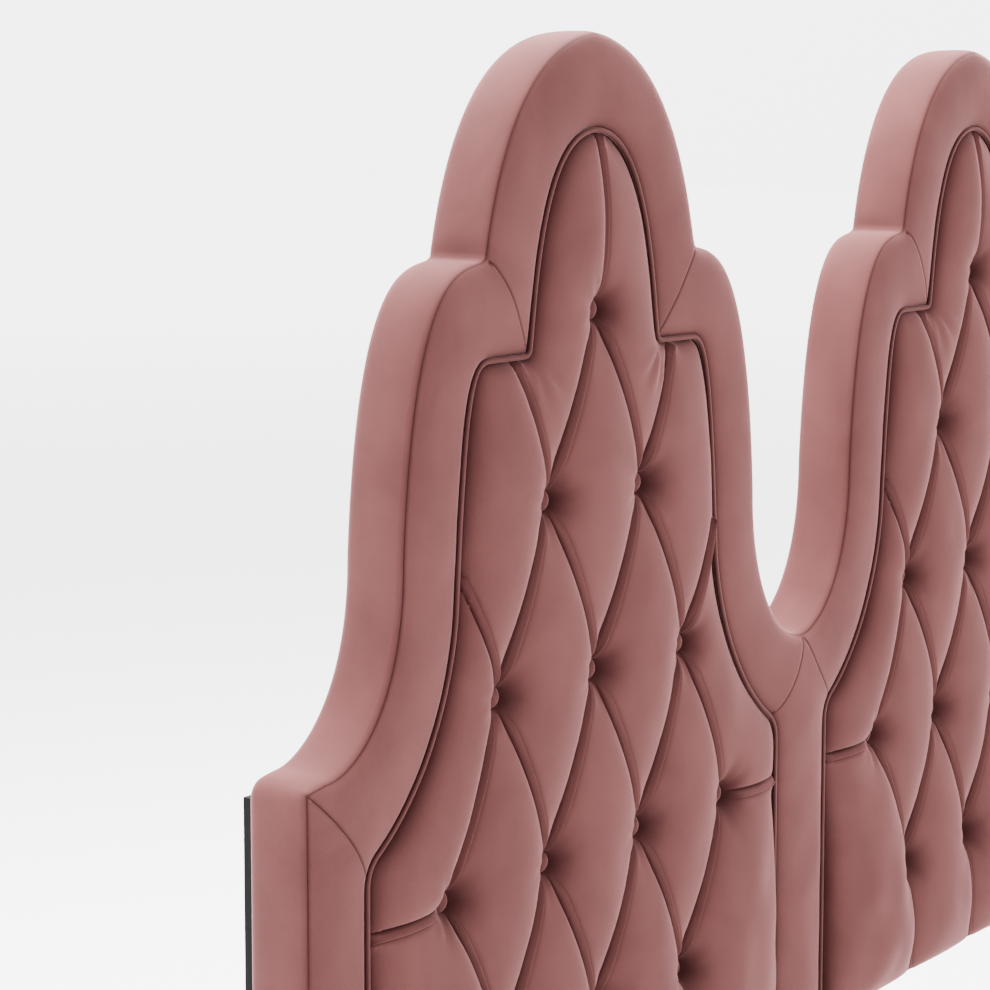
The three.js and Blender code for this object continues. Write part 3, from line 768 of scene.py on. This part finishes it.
class Shader:
    """A node material: a Principled shader with colour, roughness and bump from nodes."""

    def __init__(self, name, **fixed):
        self.material = bpy.data.materials.new(name)
        self.material.use_nodes = True
        self.tree = self.material.node_tree
        self.shader = self.tree.nodes["Principled BSDF"]
        for label, value in fixed.items():
            self.shader.inputs[label.replace("_", " ")].default_value = value
        self.place = self.tree.nodes.new("ShaderNodeTexCoord").outputs["Object"]

    def node(self, kind, inputs=(), **settings):
        made = self.tree.nodes.new(kind)
        for label, value in settings.items():
            setattr(made, label, value)
        for label, value in dict(inputs).items():
            if hasattr(value, "is_output"):
                self.tree.links.new(value, made.inputs[label])
            else:
                made.inputs[label].default_value = value
        return made

    def noise(self, scale, detail=2.0, stretch=None, distort=0.0):
        where = self.place
        if stretch:
            where = self.node("ShaderNodeMapping", {"Vector": where, "Scale": stretch}).outputs[0]
        inputs = {"Vector": where, "Scale": scale, "Detail": detail, "Distortion": distort}
        return self.node("ShaderNodeTexNoise", inputs).outputs["Fac"]

    def ramp(self, value, stops):
        made = self.node("ShaderNodeValToRGB", {"Fac": value})
        ramp = made.color_ramp
        while len(ramp.elements) < len(stops):
            ramp.elements.new(.5)
        for element, (at, colour) in zip(ramp.elements, stops):
            element.position = at
            element.color = (*colour, 1)
        return made.outputs["Color"]

    def mix(self, amount, a, b, how="MIX"):
        made = self.node("ShaderNodeMix", data_type="RGBA", blend_type=how)
        for socket, value in ((made.inputs["Factor"], amount), (made.inputs[6], a), (made.inputs[7], b)):
            if hasattr(value, "is_output"):
                self.tree.links.new(value, socket)
            else:
                socket.default_value = value if isinstance(value, float) else (*value, 1)
        return made.outputs[2]

    def math(self, how, a, b=0.0):
        made = self.node("ShaderNodeMath", operation=how)
        for socket, value in zip(made.inputs, (a, b)):
            if hasattr(value, "is_output"):
                self.tree.links.new(value, socket)
            else:
                socket.default_value = value
        return made.outputs[0]

    def bump(self, height, distance, strength=1.0, under=None):
        inputs = {"Height": height, "Distance": distance, "Strength": strength}
        if under is not None:
            inputs["Normal"] = under
        return self.node("ShaderNodeBump", inputs).outputs[0]

    def grey(self, value, first, last):
        """A ramp between two plain values, each with its place."""
        return self.ramp(value, [(at, (shade,) * 3) for at, shade in (first, last)])

    def done(self, colour=None, rough=None, normal=None):
        for label, value in (("Base Color", colour), ("Roughness", rough), ("Normal", normal)):
            if value is not None:
                self.tree.links.new(value, self.shader.inputs[label])
        return self.material


def velvet(name, deep, light, seed):
    """Short-pile velvet: dark seen straight on, bright along its edges, with faint marks in the pile, and painted
    shade that darkens it where a piece's stored painted shade is high.
    """
    s = Shader(name, Sheen_Weight=.33, Sheen_Roughness=.34, Sheen_Tint=(1, .50, .51, 1), Specular_IOR_Level=.05)
    s.place = s.node("ShaderNodeMapping", {"Vector": s.place, "Location": (seed, seed * .7, 0)}).outputs[0]
    marks = s.noise(9, 4, distort=.8)
    streaks = s.noise(26, 3, stretch=(1, 1, .35))
    pile = s.noise(1500, 2)
    clouds = s.math("ADD", s.math("MULTIPLY", marks, .65), s.math("MULTIPLY", streaks, .35))
    colour = s.ramp(clouds, [(.34, deep), (.66, light)])
    colour = s.mix(.22, colour, s.grey(pile, (.3, .35), (.7, 1)), "MULTIPLY")
    # Painted shade: the colour is pulled towards a much darker rose where the stored painted shade is high, in
    # creases, pits and beside seams and piping.
    painted_shade_amount = s.node("ShaderNodeAttribute", attribute_name="painted_shade_and_pressed_pile").outputs["Fac"]
    painted_shade_colour = tuple(c * t for c, t in zip(deep, (.16, .06, .06)))
    colour = s.mix(s.math("MULTIPLY", painted_shade_amount, .90), colour, painted_shade_colour)
    rough = s.grey(streaks, (.3, .80), (.7, .95))
    normal = s.bump(pile, .0006, .35, s.bump(streaks, .0008, .35))
    return s.done(colour, rough, normal)


def wood(name, dark, pale, grain):
    s = Shader(name, Specular_IOR_Level=.35)
    fibres = s.noise(38, 6, stretch=grain, distort=1.2)
    fine = s.noise(420, 3, stretch=grain)
    colour = s.mix(.3, s.ramp(fibres, [(.32, dark), (.62, pale)]), s.ramp(fine, [(.35, dark), (.6, pale)]))
    rough = s.grey(fibres, (.3, .72), (.7, .55))
    return s.done(colour, rough, s.bump(fine, .0004, .5))


def painted(name):
    s = Shader(name, Specular_IOR_Level=.06)
    grain = s.noise(60, 5, stretch=(1, 1, .08))
    wear = s.noise(14, 8)
    fresh, dull, rubbed = (.0042, .0044, .0045), (.0062, .0065, .0066), (.011, .0115, .0115)
    colour = s.ramp(wear, [(.30, fresh), (.62, dull), (.80, rubbed)])
    rough = s.grey(grain, (.3, .66), (.7, .80))
    return s.done(colour, rough, s.bump(grain, .0006, .5))


def zinc(name):
    s = Shader(name, Metallic=1.0)
    patches = s.node("ShaderNodeTexVoronoi", {"Vector": s.place, "Scale": 260.0}).outputs["Distance"]
    wear = s.noise(90, 5)
    colour = s.ramp(wear, [(.3, (.42, .41, .38)), (.7, (.62, .62, .60))])
    rough = s.grey(patches, (.1, .28), (.8, .46))
    return s.done(colour, rough, s.bump(wear, .0003, .4))


def nylon(name):
    s = Shader(name, Specular_IOR_Level=.4)
    grain = s.noise(700, 3)
    colour = s.ramp(s.noise(30, 4), [(.3, (.012, .012, .013)), (.7, (.03, .03, .03))])
    return s.done(colour, s.grey(grain, (.3, .45), (.7, .62)), s.bump(grain, .0003, .4))


def lining(name):
    """Thin spun cloth: a fine square texture of pressed dots."""
    s = Shader(name, Sheen_Weight=.04, Sheen_Roughness=.5, Specular_IOR_Level=.08)
    spread = {"Vector": s.place, "Scale": 520.0}
    dots = s.node("ShaderNodeTexVoronoi", spread, distance="CHEBYCHEV").outputs["Distance"]
    fibres = s.noise(240, 4)
    colour = s.mix(.4, s.ramp(fibres, [(.3, (.006, .006, .0065)), (.7, (.017, .017, .018))]),
                   s.ramp(dots, [(.2, (.008, .008, .0085)), (.7, (.020, .020, .021))]))
    return s.done(colour, s.grey(fibres, (.3, .8), (.7, .95)), s.bump(dots, .0004, .6))


def thread(name, tone):
    s = Shader(name, Sheen_Weight=.03, Specular_IOR_Level=.06)
    twist = s.noise(2200, 2)
    colour = s.ramp(twist, [(.3, tuple(c * .6 for c in tone)), (.7, tone)])
    return s.done(colour, s.grey(twist, (.3, .5), (.7, .7)), s.bump(twist, .0002, .5))


# ---- Back cloth ----

CLOTH_STEP = .014
CLOTH_INSET = .014      # how far the cloth's edge lies inside the headboard's


def back_sheet():
    """Thin spun cloth stretched over the back, with faint ripples, and the area of its cut."""
    low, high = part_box("back_cloth")
    edge = offset(outer_edge(CLOTH_STEP), CLOTH_INSET)
    edge[:, 1] = np.maximum(edge[:, 1], low.z - BOTTOM)
    base = spaced([edge[-1], edge[0]], CLOTH_STEP)[1:-1]
    ring = np.concatenate([edge, base])
    ring = ring[np.r_[True, np.linalg.norm(np.diff(ring, axis=0), axis=1) > .002]]
    patch = Patch()
    patch.line(ring, pin=0.0, closed=True)
    patch.fill(ring, [], CLOTH_STEP, .009)
    xy, faces = patch.solve(0, .5, 1)[:2]
    x, s = xy.T
    ripple = (.0001 * ripples(x, s, 8, 15, 60)).clip(-.0002, .0002)
    faces = facing_front(xy, faces)
    thickness = high.y - low.y
    near = np.stack([x, low.y + ripple, s + BOTTOM], -1)
    far = near + (0, thickness, 0)
    n = len(near)
    directed = {(f[k], f[(k + 1) % 3]) for f in faces for k in range(3)}
    rim = [(a, b) for a, b in directed if (b, a) not in directed]
    every = [tuple(int(k) for k in f) for f in faces] + [tuple(int(k) + n for k in f[::-1]) for f in faces]
    every += [(int(b), int(a), int(a) + n, int(b) + n) for a, b in rim]
    u, v = (near[faces[:, k]] - near[faces[:, 0]] for k in (1, 2))
    cut = np.linalg.norm(np.cross(u, v), axis=1).sum() / 2
    return mesh_object("back_lining", np.concatenate([near, far]), every), float(cut)


# ---- Build ----

pads = tufted_pads()
borders, seams = border_pieces()
tubes = piping()
strip = band()

rose = (.076, .0262, .0250), (.101, .0370, .0350)
# The same rose about a tenth darker for the piping: painted shade.
rose_in_painted_shade = (.068, .0235, .0224), (.090, .0330, .0312)
pad_cloth = velvet("rose velvet, tufted", *rose, 0)
border_cloth = velvet("rose velvet, border", *rose, 3)
piping_cloth = velvet("rose velvet, piping", *rose_in_painted_shade, 6)
button_cloth = velvet("rose velvet, buttons", *rose, 9)
rose_thread = thread("rose thread", (.034, .009, .008))

for cloth, group in ((pad_cloth, pads), (border_cloth, borders + [strip]), (piping_cloth, tubes)):
    for _, piece, _, _ in group:
        piece.data.materials.append(cloth)
buttons = button_pieces(button_cloth)

border_tree = BVHTree.FromObject(borders[0][1], bpy.context.evaluated_depsgraph_get())
sewn = stitches(seams, border_tree, rose_thread)

lining_piece, cloth_area = back_sheet()
lining_piece.data.materials.append(lining("black spun lining"))

for body, piece, nodes, name in pads + borders + [strip] + tubes + buttons:
    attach(piece, body)
    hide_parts(*nodes)
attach(sewn, "board")
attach(lining_piece, "board")
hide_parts("back_cloth")

plywood = wood("birch plywood", (.36, .22, .11), (.60, .42, .24), (.10, 1, 1))
pine = wood("pine", (.42, .25, .11), (.66, .46, .25), (1, 1, .08))
pine_rail = wood("pine, lengthways", (.42, .25, .11), (.66, .46, .25), (.08, 1, 1))
leg_paint = painted("graphite paint")
steel = zinc("zinc-plated steel")
foot = nylon("black nylon")
FINISH = {"front_board": plywood, "bottom_rail": pine_rail, "middle_rail": pine_rail, "centre_post": pine}
for side in HANDS:
    FINISH.update({side + "_stile": pine, side + "_arch_rib": plywood, side + "_tufting_board": plywood})
    FINISH.update({side + "_leg": leg_paint, side + "_glide": foot})
    for place in ("lower", "upper"):
        FINISH.update({f"{side}_{place}_insert": steel, f"{side}_{place}_bolt": steel})
for node, finish in FINISH.items():
    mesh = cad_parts[node].data
    mesh.materials.clear()
    mesh.materials.append(finish)


# ---- Stage, light and camera ----

FLOOR_HALF = 40
FLOOR_Z = -.0005
FLOOR_GLOW = (("From Min", 2.5), ("From Max", 16), ("To Max", 1.6))
AIR_BRIGHTEST = (.45, .64, .62)     # the way to the brightest air
AIR_SPAN = (("From Min", -.75), ("From Max", .95), ("To Min", .20), ("To Max", 5.6))
CAMERA_PLACE = (-2.2110, -1.3703, 1.3541)
CAMERA_HEADING, CAMERA_PITCH = math.radians(51.308), math.radians(5.334)
CAMERA_LENS, CAMERA_RISE = 86.55, -.15


def floor_finish():
    """Matt and pale. Its far part glows, to be about as bright as the air is on its bright side."""
    s = Shader("pale floor", Emission_Color=(1, 1, 1, 1))
    fine = s.noise(40, 3)
    away = s.node("ShaderNodeVectorMath", {0: s.place}, operation="LENGTH").outputs["Value"]
    glow = s.node("ShaderNodeMapRange", {"Value": away, **dict(FLOOR_GLOW)}, interpolation_type="SMOOTHSTEP")
    s.tree.links.new(glow.outputs["Result"], s.shader.inputs["Emission Strength"])
    return s.done(s.grey(fine, (.3, .9456), (.7, .96)), s.grey(fine, (.3, .8), (.7, .85)))


def floor():
    corners = [(-1, -1), (1, -1), (1, 1), (-1, 1)]
    made = mesh_object("floor", [(x * FLOOR_HALF, y * FLOOR_HALF, FLOOR_Z) for x, y in corners], [(0, 1, 2, 3)])
    made.data.materials.append(floor_finish())
    return made


def lamp(name, where, aim, size, power, colour=(1, 1, 1)):
    data = bpy.data.lights.new(name, "AREA")
    data.shape = "RECTANGLE"
    data.size, data.size_y = size
    data.energy = power
    data.color = colour
    light = bpy.data.objects.new(name, data)
    light.location = where
    light.rotation_euler = (Vector(aim) - Vector(where)).to_track_quat("-Z", "Y").to_euler()
    bpy.context.scene.collection.objects.link(light)


def studio_air():
    """White air that is brighter towards one side and above."""
    world = bpy.data.worlds.new("studio")
    world.use_nodes = True
    tree = world.node_tree
    sky = tree.nodes.new("ShaderNodeTexCoord").outputs["Generated"]
    facing = tree.nodes.new("ShaderNodeVectorMath")
    facing.operation = "DOT_PRODUCT"
    facing.inputs[1].default_value = Vector(AIR_BRIGHTEST).normalized()
    span = tree.nodes.new("ShaderNodeMapRange")
    span.interpolation_type = "SMOOTHSTEP"
    for label, value in AIR_SPAN:
        span.inputs[label].default_value = value
    air = tree.nodes["Background"]
    air.inputs["Color"].default_value = (1, 1, 1, 1)
    tree.links.new(sky, facing.inputs[0])
    tree.links.new(facing.outputs["Value"], span.inputs["Value"])
    tree.links.new(span.outputs["Result"], air.inputs["Strength"])
    bpy.context.scene.world = world


def camera():
    data = bpy.data.cameras.new("camera")
    data.lens, data.sensor_width, data.shift_y = CAMERA_LENS, 36, CAMERA_RISE
    made = bpy.data.objects.new("camera", data)
    made.location = CAMERA_PLACE
    level = math.cos(CAMERA_PITCH)
    look = Vector((math.sin(CAMERA_HEADING) * level, math.cos(CAMERA_HEADING) * level, -math.sin(CAMERA_PITCH)))
    made.rotation_euler = look.to_track_quat("-Z", "Y").to_euler()
    bpy.context.scene.collection.objects.link(made)
    bpy.context.scene.camera = made


floor()
lamp("key", (1.9, -2.9, 2.6), (0, 0, .9), (1.6, 1.6), 108)
lamp("side", (-1.8, 2.9, 2.2), (-.4, 0, 1.0), (1.0, 1.6), 170, (1, .92, .96))
lamp("top", (0, .5, 3.0), (0, 0, .9), (2.6, .8), 420)
studio_air()
camera()
